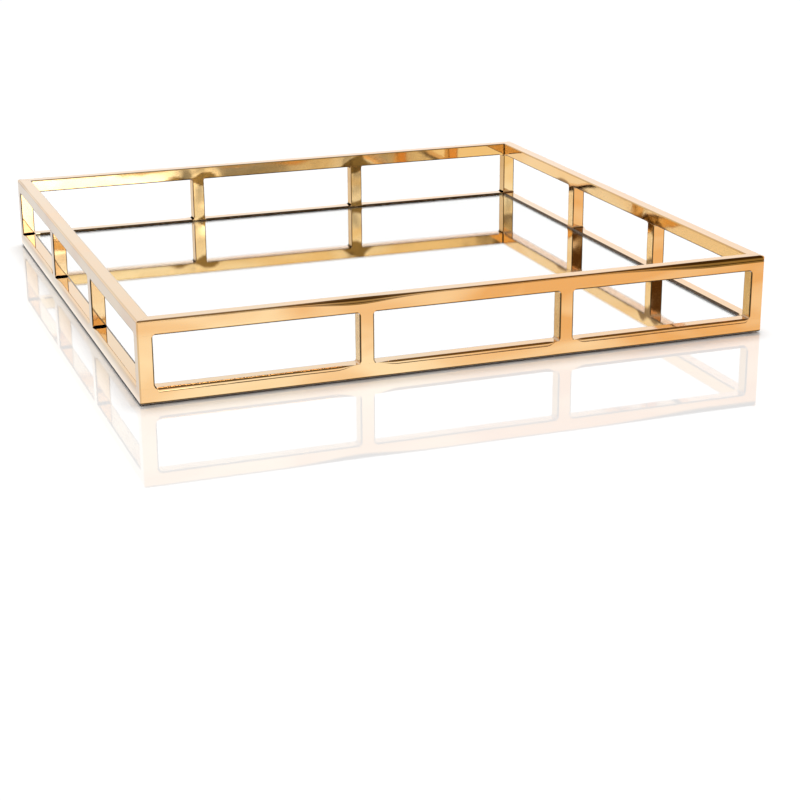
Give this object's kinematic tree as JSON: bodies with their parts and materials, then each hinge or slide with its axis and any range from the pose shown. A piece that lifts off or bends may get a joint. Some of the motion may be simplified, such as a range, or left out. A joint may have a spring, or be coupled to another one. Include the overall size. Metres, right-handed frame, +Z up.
{
  "type": "vanity tray",
  "caption": "Square mirrored vanity tray with an open gallery of gold-plated square tube: mitred rings, corner posts, window posts and a mirror floor.",
  "frame": {"origin": "middle of the footprint, on the table under the foot pads", "axes": "+Z up, -Y towards the front side, +X to the right"},
  "size_m": [0.356, 0.356, 0.0444],
  "materials": {
    "gold_rail": "polished gold plating",
    "gold_post": "polished gold plating",
    "gold_weld": "ground and buffed gold plating",
    "plated_plate": "flash-plated, unpolished",
    "mirror_glass": "polished, silvered on its underside",
    "sealant": "cured sealant, glossy",
    "hardboard": "pressed fibre, smooth",
    "felt": "napped felt",
    "foam_tape": "foam",
    "foot_rubber": "matte"
  },
  "bodies": {
    "root": {"top_rail_front": "gold_rail", "top_rail_right": "gold_rail", "top_rail_back": "gold_rail", "top_rail_left": "gold_rail", "bottom_rail_front": "gold_rail", "bottom_rail_right": "gold_rail", "bottom_rail_back": "gold_rail", "bottom_rail_left": "gold_rail", "corner_post_front_left": "gold_post", "corner_post_front_right": "gold_post", "corner_post_back_right": "gold_post", "corner_post_back_left": "gold_post", "window_post_front_left": "gold_post", "window_post_front_right": "gold_post", "window_post_right_front": "gold_post", "window_post_right_back": "gold_post", "window_post_back_right": "gold_post", "window_post_back_left": "gold_post", "window_post_left_back": "gold_post", "window_post_left_front": "gold_post", "weld_fillets_top": "gold_weld", "weld_fillets_bottom": "gold_weld", "corner_gusset_front_left": "plated_plate", "corner_gusset_front_right": "plated_plate", "corner_gusset_back_right": "plated_plate", "corner_gusset_back_left": "plated_plate", "side_tab_front": "plated_plate", "side_tab_right": "plated_plate", "side_tab_back": "plated_plate", "side_tab_left": "plated_plate", "backing_board": "hardboard", "felt_base": "felt", "mirror_tape": "foam_tape", "mirror_pane": "mirror_glass", "edge_seal": "sealant", "foot_pad_front_left": "foot_rubber", "foot_pad_front_right": "foot_rubber", "foot_pad_back_right": "foot_rubber", "foot_pad_back_left": "foot_rubber"}
  },
  "joints": []
}
